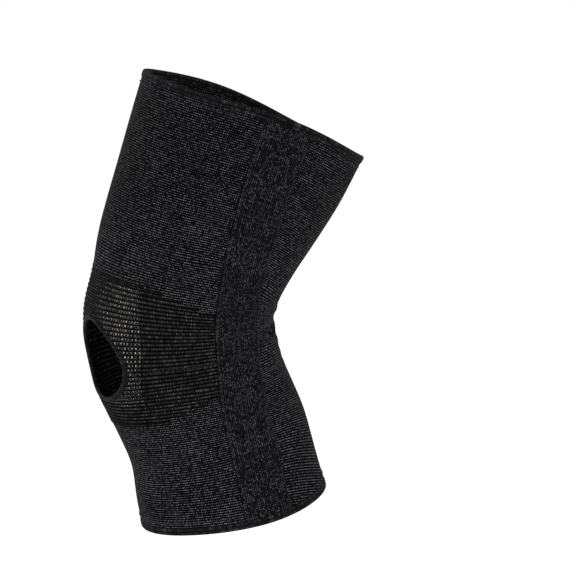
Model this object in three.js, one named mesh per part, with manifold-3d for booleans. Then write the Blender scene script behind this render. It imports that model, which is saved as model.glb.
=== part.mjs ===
// Open-patella knee sleeve: a knitted elastic tube with a turned hem at each end, a bound opening for the
// kneecap, a net-knit field round that opening and two sewn stay channels down each side.
// It has the form that it takes on a bent left knee.
// Units are millimetres. +Z is up, -Y is the front of the knee and +X the outer side of the leg.
// The origin is the knee's centre, on the axis of the leg.

import * as THREE from 'three';
import Module from 'manifold-3d';

const wasm = await Module();
wasm.setup();

const { clamp, degToRad, lerp, radToDeg, smoothstep } = THREE.MathUtils;

// Lengths along the leg's axis, from the knee's centre to the free edge of each hem
const thighLength = 137;
const calfLength = 128;

// The bend: how far each half leans back from upright, and the length of axis that turns
const thighLean = 22.5;
const calfLean = 17.7;
const bendSpan = 60;

// Outside of the knit, measured square to the axis, at each hem and at the knee's centre
const thighFront = 75.5;
const thighBack = 76.5;
const thighSide = 74;
const kneeFront = 63.5;
const kneeBack = 58.5;
const kneeSide = 57;
const calfFront = 62.5;
const calfBack = 59.5;
const calfSide = 58;

// Fabric
const knitWall = 1.8;
const seatGap = 0.3;
const hemHeight = 4;
const hemWall = 3;
const hemFullness = 0.6;

// The channels push the hems out past square, and the calf's hem also hangs lower at the back
const thighHemLift = 7;
const calfHemDrop = 3;
const calfBackDrop = 12;
const hemShiftReach = 45;
const hemShiftArc = 42;

// Stay channels
const channelWidth = 16;
const channelSpacing = 1;
const channelEdge = 0.9;
const stayHeight = 1.5;
const stayEndInset = 11;
const stayEndTaper = 7;

// Opening for the kneecap: egg-shaped, fuller low down
const openingHeight = 52;
const openingWidth = 56;
const openingDrop = 29;
const openingEgg = 0.16;
const bindingWidth = 3.2;
const bindingWall = 2.8;

// Net round the opening
const netHeight = 80;
const netWidth = 90;
const netDrop = 23;
const netPitchAround = 5.4;
const netPitchAlong = 5.6;
const netGapWidth = 2.9;
const netGapHeight = 3.1;
const netMargin = 3;

// Folds behind the knee
const creaseHeight = 1.6;
const creaseWidth = 2.6;
const creaseArc = 50;
const creaseReach = 38;

// Facets
const columns = 48;
const hemProfilePoints = 6;
const openingPoints = 36;
const bindingPoints = 6;
const channelRows = 17;
const channelProfilePoints = 5;
const longRow = 20;
const bendRow = 7.5;
const creaseRow = 3;

// The leg's form. Along is a share of the length to the hem, front, back and side are shares of a straight
// taper from the knee's size to the hem's, square is how far the section's corners fill out, turn is how far
// the fabric has turned on the leg, and stay is the angle from the front to the middle of the channels.
const thighForm = [
  { along: 1.0, front: 1.0, back: 1.0, side: 1.0, square: 0.01, turn: 3, stay: 91 },
  { along: 0.76, front: 1.0, back: 1.014, side: 0.995, square: 0.01, turn: 4, stay: 92 },
  { along: 0.53, front: 0.995, back: 0.99, side: 0.97, square: 0.01, turn: 7, stay: 94 },
  { along: 0.35, front: 0.987, back: 0.962, side: 0.955, square: 0.015, turn: 9, stay: 97 },
  { along: 0.234, front: 0.976, back: 0.959, side: 0.96, square: 0.02, turn: 11, stay: 99 },
  { along: 0.117, front: 0.94, back: 0.987, side: 0.985, square: 0.03, turn: 12, stay: 101 },
];
const kneeForm = { along: 0, front: 1.0, back: 1.0, side: 1.0, square: 0.035, turn: 12, stay: 102 };
const calfForm = [
  { along: 0.123, front: 1.0, back: 0.998, side: 0.99, square: 0.035, turn: 12, stay: 102 },
  { along: 0.246, front: 0.992, back: 0.996, side: 0.965, square: 0.03, turn: 11, stay: 101 },
  { along: 0.37, front: 0.961, back: 0.982, side: 0.955, square: 0.02, turn: 10, stay: 99 },
  { along: 0.49, front: 0.93, back: 1.004, side: 0.965, square: 0.015, turn: 8, stay: 98 },
  { along: 0.677, front: 0.905, back: 1.032, side: 0.99, square: 0.01, turn: 7, stay: 96 },
  { along: 0.86, front: 0.967, back: 1.01, side: 1.005, square: 0.01, turn: 6, stay: 95 },
  { along: 1.0, front: 1.0, back: 1.0, side: 1.0, square: 0.01, turn: 5, stay: 94 },
];

// Folds below the hollow behind the knee: place is a share of their reach down from the knee's centre
const creases = [
  { place: 0.2, height: 0.6 },
  { place: 0.42, height: 1.0 },
  { place: 0.64, height: 0.8 },
  { place: 0.84, height: 0.45 },
];

const sides = [
  { name: 'lateral', sign: 1 },
  { name: 'medial', sign: -1 },
];
const lanes = [
  { name: 'front', sign: -1 },
  { name: 'rear', sign: 1 },
];

const sleeveTop = thighLength - hemHeight - seatGap;
const sleeveBottom = -(calfLength - hemHeight - seatGap);

// Leg axis

const middleLean = degToRad(thighLean - calfLean) / 2;
const bendRate = degToRad(thighLean + calfLean) / bendSpan;

function withinBend(height) {
  return clamp(height, -bendSpan / 2, bendSpan / 2);
}

function axisDirection(height) {
  const lean = middleLean + bendRate * withinBend(height);
  return new THREE.Vector3(0, Math.sin(lean), Math.cos(lean));
}

function axisPoint(height) {
  const turned = withinBend(height);
  const lean = middleLean + bendRate * turned;
  const point = new THREE.Vector3(
    0,
    (Math.cos(middleLean) - Math.cos(lean)) / bendRate,
    (Math.sin(lean) - Math.sin(middleLean)) / bendRate,
  );
  return point.addScaledVector(axisDirection(height), height - turned);
}

// Sections

const formColumns = ['front', 'back', 'side', 'square', 'turn', 'stay'];

function formRow(row, length, hem) {
  const sizes = {
    ...row,
    front: row.front * lerp(kneeFront, hem.front, row.along),
    back: row.back * lerp(kneeBack, hem.back, row.along),
    side: row.side * lerp(kneeSide, hem.side, row.along),
  };
  return { height: row.along * length, values: formColumns.map((name) => sizes[name]) };
}

const thighHem = { front: thighFront, back: thighBack, side: thighSide };
const calfHem = { front: calfFront, back: calfBack, side: calfSide };
const formRows = [
  ...calfForm.toReversed().map((row) => formRow(row, -calfLength, calfHem)),
  formRow(kneeForm, thighLength, thighHem),
  ...thighForm.toReversed().map((row) => formRow(row, thighLength, thighHem)),
];
const formCurve = new THREE.CubicInterpolant(
  formRows.map((row) => row.height),
  formRows.flatMap((row) => row.values),
  formColumns.length,
);

function sectionAt(height) {
  const [front, back, side, square, turn, stay] = formCurve.evaluate(clamp(height, -calfLength, thighLength));
  return { front, back, side, square, turn: degToRad(turn), stay: degToRad(stay) };
}

// An angle brought to within half a turn of the middle of the front
function wrapAngle(angle) {
  return Math.atan2(Math.sin(angle), Math.cos(angle));
}

// How far a hem's pull moves the knit along the axis
function hemShift(angle, height, stay) {
  const fromStay = radToDeg(Math.abs(angle) - stay) / hemShiftArc;
  const nearStay = Math.exp(-fromStay * fromStay);
  const nearThighHem = smoothstep(height, thighLength - hemShiftReach, thighLength);
  const nearCalfHem = smoothstep(-height, calfLength - hemShiftReach, calfLength);
  const drop = calfHemDrop * nearStay + (calfBackDrop * (1 - Math.cos(angle))) / 2;
  return thighHemLift * nearThighHem * nearStay - drop * nearCalfHem;
}

// A point of the sleeve without its folds, in fabric terms: angle is measured round the leg from the middle of
// the front, height along the axis, and proud outwards from the knit's outside.
function smoothPoint(angle, height, proud) {
  const section = sectionAt(height);
  const shifted = height + hemShift(wrapAngle(angle), height, section.stay);
  const direction = axisDirection(shifted);
  const forward = new THREE.Vector3(0, -direction.z, direction.y);
  const turned = wrapAngle(angle + section.turn);
  const fill = 1 + section.square * Math.sin(2 * turned) ** 2;
  const depth = Math.cos(turned) > 0 ? section.front : section.back;
  const point = axisPoint(shifted);
  point.x += (section.side * fill + proud) * Math.sin(turned);
  return point.addScaledVector(forward, (depth * fill + proud) * Math.cos(turned));
}

// The bend stretches the knit in front and shortens it behind, so places along those two lines are measured on
// the knit itself: its length from the knee's centre at each height of the axis.
function knitLine(angle) {
  const steps = Math.round(thighLength + calfLength);
  const heights = Array.from({ length: steps + 1 }, (_, i) => lerp(-calfLength, thighLength, i / steps));
  const points = heights.map((height) => smoothPoint(angle, height, 0));
  const lengths = [0];
  for (let i = 1; i <= steps; i += 1) lengths.push(lengths[i - 1] + points[i].distanceTo(points[i - 1]));
  const middle = new THREE.LinearInterpolant(heights, lengths, 1).evaluate(0)[0];
  const fromMiddle = lengths.map((length) => length - middle);
  const lengthCurve = new THREE.LinearInterpolant(heights, fromMiddle, 1);
  const heightCurve = new THREE.LinearInterpolant(fromMiddle, heights, 1);
  return {
    lengthAt: (height) => lengthCurve.evaluate(height)[0],
    heightAt: (length) => heightCurve.evaluate(length)[0],
  };
}

const frontLine = knitLine(0);
const backLine = knitLine(Math.PI);

function creaseAt(angle, height) {
  const fromBack = (Math.PI - Math.abs(wrapAngle(angle))) / degToRad(creaseArc);
  if (fromBack >= 1) return 0;
  const length = backLine.lengthAt(height);
  const relief = creases.reduce((sum, crease) => {
    const off = (length + crease.place * creaseReach) / creaseWidth;
    return sum + crease.height * Math.exp(-off * off);
  }, 0);
  return creaseHeight * Math.cos((fromBack * Math.PI) / 2) * relief;
}

function fabricPoint(angle, height, proud) {
  return smoothPoint(angle, height, proud + creaseAt(angle, height));
}

// The angle that lies a given distance round the knit's outside from another angle
function angleBeside(angle, height, distance) {
  const step = degToRad(1);
  const across = smoothPoint(angle - step, height, 0).distanceTo(smoothPoint(angle + step, height, 0));
  return angle + (distance * 2 * step) / across;
}

// A point beside the middle of the front: distance round the knit, and length along its front line
function frontPoint(distance, length, proud) {
  const height = frontLine.heightAt(length);
  return fabricPoint(angleBeside(0, height, distance), height, proud);
}

// Solids

// A closed solid through loops of points. A ring joins its last loop to its first; an open run gets an end
// at each side, laddered between the two halves of its loop.
function loft(loops, isRing) {
  const count = loops[0].length;
  const index = [];
  const quad = (a, b, c, d) => index.push(a, b, c, a, c, d);
  const runs = isRing ? loops.length : loops.length - 1;
  for (let i = 0; i < runs; i += 1) {
    const near = i * count;
    const far = ((i + 1) % loops.length) * count;
    for (let j = 0; j < count; j += 1) {
      const next = (j + 1) % count;
      quad(near + j, near + next, far + next, far + j);
    }
  }
  if (!isRing) {
    const last = (loops.length - 1) * count;
    for (let j = 0; j < count / 2 - 1; j += 1) {
      const mirrored = count - 1 - j;
      quad(j, mirrored, mirrored - 1, j + 1);
      quad(last + j, last + j + 1, last + mirrored - 1, last + mirrored);
    }
  }
  const positions = loops.flat().flatMap((point) => point.toArray());
  const geometry = new THREE.BufferGeometry();
  geometry.setAttribute('position', new THREE.Float32BufferAttribute(positions, 3));
  geometry.setIndex(volumeOf(positions, index) < 0 ? index.toReversed() : index);
  return geometry;
}

function volumeOf(positions, index) {
  const corners = [new THREE.Vector3(), new THREE.Vector3(), new THREE.Vector3()];
  let volume = 0;
  for (let i = 0; i < index.length; i += 3) {
    corners.forEach((corner, k) => corner.fromArray(positions, 3 * index[i + k]));
    volume += corners[0].dot(corners[1].cross(corners[2])) / 6;
  }
  return volume;
}

function toSolid(geometry) {
  const vertProperties = geometry.getAttribute('position').array;
  const triVerts = new Uint32Array(geometry.index.array);
  return new wasm.Manifold(new wasm.Mesh({ numProp: 3, vertProperties, triVerts }));
}

function toGeometry(solid) {
  const { vertProperties, triVerts } = solid.getMesh();
  const geometry = new THREE.BufferGeometry();
  geometry.setAttribute('position', new THREE.BufferAttribute(vertProperties, 3));
  geometry.setIndex(new THREE.BufferAttribute(triVerts, 1));
  return geometry;
}

function evenly(count, pointAt) {
  return Array.from({ length: count }, (_, i) => pointAt(i / count));
}

function spread(from, to, longest) {
  const steps = Math.max(1, Math.ceil((to - from) / longest));
  return Array.from({ length: steps }, (_, i) => lerp(from, to, i / steps));
}

// Knit tube

const creaseHead = -bendSpan / 2;
const creaseFoot = Math.min(backLine.heightAt(-creaseReach), creaseHead - creaseRow);
const knitRows = [
  ...spread(sleeveBottom, creaseFoot, longRow),
  ...spread(creaseFoot, creaseHead, creaseRow),
  ...spread(creaseHead, bendSpan / 2, bendRow),
  ...spread(bendSpan / 2, sleeveTop, longRow),
  sleeveTop,
];

function knitTube() {
  return loft(
    evenly(columns, (share) => {
      const angle = share * 2 * Math.PI;
      return [
        ...knitRows.map((height) => fabricPoint(angle, height, 0)),
        ...knitRows.toReversed().map((height) => fabricPoint(angle, height, -knitWall)),
      ];
    }),
    true,
  );
}

// Egg-shaped outline of the opening, grown outwards by a margin
function openingPoint(share, margin, proud) {
  const around = share * 2 * Math.PI;
  const fullness = 1 - openingEgg * Math.cos(around);
  const distance = (openingWidth / 2 + margin) * Math.sin(around) * fullness;
  const length = (openingHeight / 2 + margin) * Math.cos(around) - openingDrop;
  return frontPoint(distance, length, proud);
}

// Whether a place beside the front line lies in an egg like the opening's
function inEgg(place, drop, height, width) {
  const along = (place.length + drop) / (height / 2);
  const across = place.distance / ((width / 2) * (1 - openingEgg * clamp(along, -1, 1)));
  return along ** 2 + across ** 2 < 1;
}

// A plug through the knit at the opening. Its flat ends stand well clear of the curved knit on both sides.
const plugDepth = 12;
const plugRise = 30;

function openingPlug() {
  const margin = bindingWidth + seatGap;
  const rim = (proud) => evenly(openingPoints, (share) => openingPoint(share, margin, proud));
  return loft([rim(-knitWall - plugDepth), rim(plugRise)], false);
}

// Places of the net's gaps: a staggered field between the binding's margin and the net's own outline
function netPlaces() {
  const plain = 2 * (bindingWidth + seatGap + netMargin);
  const rowCount = Math.floor(netHeight / netPitchAlong);
  const reach = Math.ceil(netWidth / netPitchAround);
  const places = [];
  for (let row = 0; row <= rowCount; row += 1) {
    const length = netHeight / 2 - netDrop - row * netPitchAlong;
    for (let step = -reach; step <= reach; step += 1) {
      places.push({ distance: (step + (row % 2) / 2) * netPitchAround, length });
    }
  }
  return places.filter(
    (place) =>
      inEgg(place, netDrop, netHeight, netWidth) &&
      !inEgg(place, openingDrop, openingHeight + plain, openingWidth + plain),
  );
}

// A four-cornered cutter through the knit
const cutterClearance = 1;

function gapCutter({ distance, length }) {
  const rim = (proud) => [
    frontPoint(distance - netGapWidth / 2, length, proud),
    frontPoint(distance, length - netGapHeight / 2, proud),
    frontPoint(distance + netGapWidth / 2, length, proud),
    frontPoint(distance, length + netGapHeight / 2, proud),
  ];
  return loft([rim(-knitWall - cutterClearance), rim(cutterClearance)], false);
}

function knitSleeve() {
  const opened = toSolid(knitTube()).subtract(toSolid(openingPlug()));
  const netted = netPlaces().reduce((knit, place) => knit.subtract(toSolid(gapCutter(place))), opened);
  return toGeometry(netted);
}

// Turned hems: a rounded band that sits on the knit's edge, a little thicker than the knit

function hem(seat, edge) {
  const middle = -knitWall / 2;
  return loft(
    evenly(columns, (share) => {
      const angle = share * 2 * Math.PI;
      return Array.from({ length: hemProfilePoints }, (_, i) => {
        const around = (i / (hemProfilePoints - 1)) * Math.PI;
        const height = lerp(seat, edge, Math.sin(around) ** hemFullness);
        return fabricPoint(angle, height, middle + (hemWall / 2) * Math.cos(around));
      });
    }),
    true,
  );
}

// Binding: an oval cord of knit round the opening

function patellaBinding() {
  return loft(
    evenly(openingPoints, (share) =>
      evenly(bindingPoints, (turn) => {
        const around = turn * 2 * Math.PI;
        const margin = (bindingWidth / 2) * (1 + Math.cos(around));
        const proud = -knitWall / 2 + (bindingWall / 2) * Math.sin(around);
        return openingPoint(share, margin, proud);
      }),
    ),
    true,
  );
}

// Stay channels: a strip sewn to the knit, raised along its middle where the stay lies inside

const channelTop = sleeveTop - seatGap;
const channelBottom = sleeveBottom + seatGap;

function stayRise(height) {
  const fromEnd = Math.min(channelTop - height, height - channelBottom);
  return stayHeight * smoothstep(fromEnd, stayEndInset - stayEndTaper, stayEndInset + stayEndTaper);
}

function stayChannel(side, lane) {
  const rows = [...spread(channelBottom, channelTop, (channelTop - channelBottom) / channelRows), channelTop];
  return loft(
    rows.map((height) => {
      const centre = sectionAt(height).stay;
      const across = Array.from({ length: channelProfilePoints }, (_, i) => i / (channelProfilePoints - 1));
      const at = (share, proud) => {
        const distance = lane.sign * (channelSpacing / 2 + share * channelWidth);
        return fabricPoint(side.sign * angleBeside(centre, height, distance), height, proud);
      };
      return [
        ...across.map((share) => {
          const dome = Math.sin(share * Math.PI) ** 2;
          return at(share, seatGap + channelEdge + stayRise(height) * dome);
        }),
        ...across.toReversed().map((share) => at(share, seatGap)),
      ];
    }),
    false,
  );
}

// Finishes

function knitMaterial(color, roughness) {
  return new THREE.MeshStandardMaterial({ color, roughness, metalness: 0 });
}

const sleeveKnit = knitMaterial(0x1d1d20, 0.85);
const hemKnit = knitMaterial(0x161618, 0.8);
const channelKnit = knitMaterial(0x18181a, 0.85);
const bindingKnit = knitMaterial(0x131316, 0.75);

function piece(name, geometry, material) {
  const mesh = new THREE.Mesh(geometry, material);
  mesh.name = name;
  geometry.computeVertexNormals();
  return mesh;
}

const kneeSleeve = new THREE.Group();
kneeSleeve.add(
  piece('knit_sleeve', knitSleeve(), sleeveKnit),
  piece('thigh_hem', hem(sleeveTop + seatGap, thighLength), hemKnit),
  piece('calf_hem', hem(sleeveBottom - seatGap, -calfLength), hemKnit),
  piece('patella_binding', patellaBinding(), bindingKnit),
  ...sides.flatMap((side) =>
    lanes.map((lane) => piece(`${side.name}_${lane.name}_channel`, stayChannel(side, lane), channelKnit)),
  ),
);

export default kneeSleeve;
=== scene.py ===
import math
import bpy
import numpy as np
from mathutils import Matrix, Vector


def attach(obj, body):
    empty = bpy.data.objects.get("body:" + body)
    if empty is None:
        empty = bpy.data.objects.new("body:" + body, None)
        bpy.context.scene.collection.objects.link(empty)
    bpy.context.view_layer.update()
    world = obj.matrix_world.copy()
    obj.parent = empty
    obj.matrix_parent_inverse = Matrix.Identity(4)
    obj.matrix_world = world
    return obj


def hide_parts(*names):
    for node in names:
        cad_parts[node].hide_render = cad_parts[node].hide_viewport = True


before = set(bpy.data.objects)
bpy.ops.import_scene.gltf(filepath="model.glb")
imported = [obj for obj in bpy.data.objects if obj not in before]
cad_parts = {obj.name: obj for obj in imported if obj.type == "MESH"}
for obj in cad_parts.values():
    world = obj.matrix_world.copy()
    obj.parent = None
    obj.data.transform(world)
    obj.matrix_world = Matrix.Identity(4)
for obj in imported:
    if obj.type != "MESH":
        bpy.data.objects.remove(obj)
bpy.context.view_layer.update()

mm = 0.001
print("frame loaded:", len(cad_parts), "nodes")

# Camera and studio

camera = {
    "azimuth": 76,  # degrees round from the front of the knee
    "elevation": 10,
    "distance": 2600,
    "pixelsPerMm": 1.55,
    "sensor": 36,
    "imageWidth": 576,
    "kneePixel": (182, 312),  # where the knee's centre lies in the photo
    "reach": 50000,  # how far the camera sees
}


def placeCamera():
    around = math.radians(camera["azimuth"])
    above = math.radians(camera["elevation"])
    level = math.cos(above)
    toward = Vector((math.sin(around) * level, -math.cos(around) * level, math.sin(above)))
    right = Vector((math.cos(around), math.sin(around), 0))
    up = toward.cross(right)
    middle = camera["imageWidth"] / 2
    across = (middle - camera["kneePixel"][0]) / camera["pixelsPerMm"]
    over = (camera["kneePixel"][1] - middle) / camera["pixelsPerMm"]
    aim = (right * across + up * over) * mm
    bpy.ops.object.camera_add(location=aim + toward * camera["distance"] * mm)
    lens = bpy.context.object
    lens.name = "camera"
    lens.rotation_euler = toward.to_track_quat("Z", "Y").to_euler()
    lens.data.sensor_width = camera["sensor"]
    lens.data.lens = camera["pixelsPerMm"] * camera["distance"] * camera["sensor"] / camera["imageWidth"]
    lens.data.clip_end = camera["reach"] * mm
    bpy.context.scene.camera = lens


placeCamera()

studio = {
    "floorDrop": 520,
    "floorSize": 9000,
    "lights": [  # name, place, size and power
        ("key light", (2300, -1600, 150), 1500, 34),
        ("fill light", (1300, 1800, 700), 1600, 16),
        ("rim light", (-1700, -1300, 900), 1400, 14),
    ],
    "air": 1.0,  # brightness of the white surroundings
    "wall": "#ffffff",
    "wallRoughness": 0.9,
}


def linear(hexCode):
    parts = [int(hexCode[i:i + 2], 16) / 255 for i in (1, 3, 5)]
    return [p / 12.92 if p <= 0.04045 else ((p + 0.055) / 1.055) ** 2.4 for p in parts] + [1]


def addNode(tree, kind, settings=None, inputs=None):
    node = tree.nodes.new("ShaderNode" + kind)
    for name, value in (settings or {}).items():
        setattr(node, name, value)
    for key, value in (inputs or {}).items():
        if isinstance(value, bpy.types.NodeSocket):
            tree.links.new(value, node.inputs[key])
        else:
            node.inputs[key].default_value = value
    return node


def newMaterial(name):
    material = bpy.data.materials.new(name)
    material.use_nodes = True
    material.node_tree.nodes.clear()
    return material, material.node_tree


def paintedWall():  # matt white paint, so the floor and backdrop stay plain
    material, tree = newMaterial("matt white paint")
    shader = addNode(tree, "BsdfPrincipled", None, {
        "Base Color": linear(studio["wall"]), "Roughness": studio["wallRoughness"]})
    addNode(tree, "OutputMaterial", None, {"Surface": shader.outputs["BSDF"]})
    return material


def addLight(name, place, size, power):
    bpy.ops.object.light_add(type="AREA", location=[value * mm for value in place])
    lamp = bpy.context.object
    lamp.name = name
    lamp.data.shape = "DISK"
    lamp.data.size = size * mm
    lamp.data.energy = power
    lamp.rotation_euler = Vector(lamp.location).to_track_quat("Z", "Y").to_euler()


def buildStudio():
    place = (0, 0, -studio["floorDrop"] * mm)
    bpy.ops.mesh.primitive_plane_add(size=studio["floorSize"] * mm, location=place)
    floor = bpy.context.object
    floor.name = "floor"
    floor.data.materials.append(paintedWall())
    for light in studio["lights"]:
        addLight(*light)
    world = bpy.data.worlds.new("studio air")
    world.use_nodes = True
    world.node_tree.nodes.clear()
    sky = addNode(world.node_tree, "Background", None, {"Color": (1, 1, 1, 1), "Strength": studio["air"]})
    addNode(world.node_tree, "OutputWorld", None, {"Surface": sky.outputs["Background"]})
    bpy.context.scene.world = world
    bpy.context.scene.view_settings.view_transform = "Standard"


buildStudio()
print("camera and studio ready")

# Form of the sleeve on a bent knee, in millimetres. Angles start at the middle of the front and grow towards
# the outer side, heights follow the leg's axis from the knee's centre.

leg = {
    "thighLength": 137,
    "calfLength": 128,
    "thighLean": 22.5,  # degrees from upright
    "calfLean": 17.7,
    "bendSpan": 60,  # height over which the leg bends
    "thighHem": (75.5, 76.5, 74),  # reach to the front, back and side
    "knee": (63.5, 58.5, 57),
    "calfHem": (62.5, 59.5, 58),
    "wall": 1.8,
    "hemHeight": 4,
    "thighHemLift": 7,  # the stays push the thigh hem up beside them, and the calf hem down
    "calfHemDrop": 3,
    "calfBackDrop": 12,
    "hemReach": 45,  # how far from a hem that shows
    "hemArc": 42,  # degrees each way from the stays
}

# Rows give along, front, back, side, square, turn and stay. Along is a share of the length, and the next
# three are shares of a straight taper from knee to hem. Square fills the corners out. Turn and stay are
# degrees.
thighForm = [
    (1.0, 1.0, 1.0, 1.0, 0.01, 3, 91),
    (0.76, 1.0, 1.014, 0.995, 0.01, 4, 92),
    (0.53, 0.995, 0.99, 0.97, 0.01, 7, 94),
    (0.35, 0.987, 0.962, 0.955, 0.015, 9, 97),
    (0.234, 0.976, 0.959, 0.96, 0.02, 11, 99),
    (0.117, 0.94, 0.987, 0.985, 0.03, 12, 101),
    (0, 1.0, 1.0, 1.0, 0.035, 12, 102),
]
calfForm = [
    (0.123, 1.0, 0.998, 0.99, 0.035, 12, 102),
    (0.246, 0.992, 0.996, 0.965, 0.03, 11, 101),
    (0.37, 0.961, 0.982, 0.955, 0.02, 10, 99),
    (0.49, 0.93, 1.004, 0.965, 0.015, 8, 98),
    (0.677, 0.905, 1.032, 0.99, 0.01, 7, 96),
    (0.86, 0.967, 1.01, 1.005, 0.01, 6, 95),
    (1.0, 1.0, 1.0, 1.0, 0.01, 5, 94),
]


def formRows(form, length, hem):
    rows = []
    for along, front, back, side, square, turn, stay in form:
        sizes = [knee + (end - knee) * along for knee, end in zip(leg["knee"], hem)]
        shares = (front * sizes[0], back * sizes[1], side * sizes[2])
        rows.append((along * length, *shares, square, math.radians(turn), math.radians(stay)))
    return rows


formTable = np.array(sorted(
    formRows(thighForm, leg["thighLength"], leg["thighHem"])
    + formRows(calfForm, -leg["calfLength"], leg["calfHem"])
))


def curveThrough(table, at):  # a smooth curve through the rows of a table, with free ends
    places, values = table[:, 0], table[:, 1:]
    last = len(places) - 1
    at = np.clip(at, places[0], places[-1])
    i = np.clip(np.searchsorted(places, at, side="right") - 1, 0, last - 1)
    before = np.where(i > 0, i - 1, i + 1)
    after = np.where(i < last - 1, i + 2, i)
    span = places[i + 1] - places[i]
    share = (at - places[i]) / span
    pull = 0.5 * span / (places[i] - places[before])
    push = 0.5 * span / (places[after] - places[i + 1])
    weights = (
        -pull * share**3 + 2 * pull * share**2 - pull * share,
        (1 + pull) * share**3 + (-1.5 - 2 * pull) * share**2 + (pull - 0.5) * share + 1,
        (-1 - push) * share**3 + (1.5 + push) * share**2 + 0.5 * share,
        push * share**3 - push * share**2,
    )
    rows = (before, i, i + 1, after)
    return np.moveaxis(sum(w[..., None] * values[row] for w, row in zip(weights, rows)), -1, 0)


def smoothStep(value, low, high):
    share = np.clip((value - low) / (high - low), 0, 1)
    return share * share * (3 - 2 * share)


def wrapAngle(angle):
    return np.arctan2(np.sin(angle), np.cos(angle))


oneDegree = math.radians(1)
middleLean = math.radians(leg["thighLean"] - leg["calfLean"]) / 2
bendRate = math.radians(leg["thighLean"] + leg["calfLean"]) / leg["bendSpan"]


def nearHems(height):
    top = smoothStep(height, leg["thighLength"] - leg["hemReach"], leg["thighLength"])
    bottom = smoothStep(-height, leg["calfLength"] - leg["hemReach"], leg["calfLength"])
    return top, bottom


def nearStay(angle, stay):
    return np.exp(-((np.degrees(np.abs(angle) - stay) / leg["hemArc"]) ** 2))


def smoothLeg(angle, height, proud):  # the sleeve's outside without folds, in millimetres
    angle, height, proud = np.broadcast_arrays(*(np.asarray(v, float) for v in (angle, height, proud)))
    front, back, side, square, turn, stay = curveThrough(formTable, height)
    wrapped = wrapAngle(angle)
    top, bottom = nearHems(height)
    pulled = nearStay(wrapped, stay)
    drop = leg["calfHemDrop"] * pulled + leg["calfBackDrop"] * (1 - np.cos(angle)) / 2
    shifted = height + leg["thighHemLift"] * top * pulled - drop * bottom
    turned = np.clip(shifted, -leg["bendSpan"] / 2, leg["bendSpan"] / 2)
    lean = middleLean + bendRate * turned
    y = (math.cos(middleLean) - np.cos(lean)) / bendRate + (shifted - turned) * np.sin(lean)
    z = (np.sin(lean) - math.sin(middleLean)) / bendRate + (shifted - turned) * np.cos(lean)
    onLeg = wrapAngle(angle + turn)
    fill = 1 + square * np.sin(2 * onLeg) ** 2
    out = (np.where(np.cos(onLeg) > 0, front, back) * fill + proud) * np.cos(onLeg)
    x = (side * fill + proud) * np.sin(onLeg)
    return np.stack([x, y - out * np.cos(lean), z + out * np.sin(lean)], -1)


def acrossAt(angle, height):  # distance between the places one degree to each side
    ahead = smoothLeg(angle + oneDegree, height, 0)
    behind = smoothLeg(angle - oneDegree, height, 0)
    return np.linalg.norm(ahead - behind, axis=-1)


def knitLine(angle):  # length on the knit from the knee's centre, at each millimetre of height
    heights = np.arange(-leg["calfLength"], leg["thighLength"] + 1, 1.0)
    points = smoothLeg(angle, heights, 0)
    steps = np.linalg.norm(np.diff(points, axis=0), axis=1)
    lengths = np.concatenate([[0], np.cumsum(steps)])
    return heights, lengths - np.interp(0, heights, lengths)


frontHeights, frontLengths = knitLine(0)
backHeights, backLengths = knitLine(math.pi)

folds = {
    "height": 0.6,  # of the folds across the back
    "width": 2.6,
    "arc": 50,  # degrees each way from the middle of the back
    "reach": 38,
    "rows": [(0.2, 0.6), (0.42, 1.0), (0.64, 0.8), (0.84, 0.45)],  # place down the back, share of the height
    "puckers": [  # soft pulls: angle, height, length round, width along, rise, slant
        (118, -8, 15, 4.0, 0.9, 0.55),
        (125, -22, 17, 4.0, 1.0, 0.35),
        (132, 8, 18, 4.5, 0.8, 0.7),
        (-120, -10, 16, 4.0, 0.9, 0.5),
        (-128, -24, 17, 4.0, 1.0, 0.3),
        (-134, 9, 18, 4.5, 0.8, 0.65),
    ],
    "drift": 0.175,  # slow unevenness of the whole sleeve
    "driftTurns": (3, 5),
    "driftLengths": (31, 23, 17),
    "driftStart": 1.3,
    "driftSecond": 0.6,
    "gathers": [  # fine creases beside the hollow of the knee: angle, height, length round, depth along
        (146, -18, 17, 10.0),
        (-146, -18, 17, 10.0),
    ],
    "gatherPitch": 2.5,
    "gatherRise": 0.75,
    "gatherSlant": 0.22,  # millimetres along for each degree round
}


def foldRelief(angle, height):
    wrapped = wrapAngle(angle)
    fromBack = (math.pi - np.abs(wrapped)) / math.radians(folds["arc"])
    length = np.interp(height, backHeights, backLengths)
    relief = sum(rise * np.exp(-(((length + place * folds["reach"]) / folds["width"]) ** 2))
                 for place, rise in folds["rows"])
    fading = folds["height"] * np.cos(np.minimum(fromBack, 1) * math.pi / 2)
    relief = np.where(fromBack < 1, fading * relief, 0)
    for middle, level, wide, tall, rise, slant in folds["puckers"]:
        aside = np.degrees(wrapAngle(wrapped - math.radians(middle))) / wide
        along = (height - level - slant * aside * wide * np.sign(middle)) / tall
        relief = relief + rise * np.exp(-aside**2 - along**2)
    for middle, level, wide, tall in folds["gathers"]:
        away = np.degrees(wrapAngle(wrapped - math.radians(middle)))
        along = height - level - folds["gatherSlant"] * away * np.sign(middle)
        window = np.exp(-((away / wide) ** 2) - (along / tall) ** 2)
        relief = relief + folds["gatherRise"] * window * np.cos(2 * math.pi * along / folds["gatherPitch"])
    few, many = folds["driftTurns"]
    long, medium, short = folds["driftLengths"]
    first = np.sin(few * wrapped + height / long) * np.sin(height / medium + folds["driftStart"])
    second = folds["driftSecond"] * np.sin(many * wrapped - height / short)
    return relief + folds["drift"] * (first + second)


def fabricPoint(angle, height, proud):  # a place on the sleeve in metres
    return smoothLeg(angle, height, proud + foldRelief(angle, height)) * mm


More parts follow.
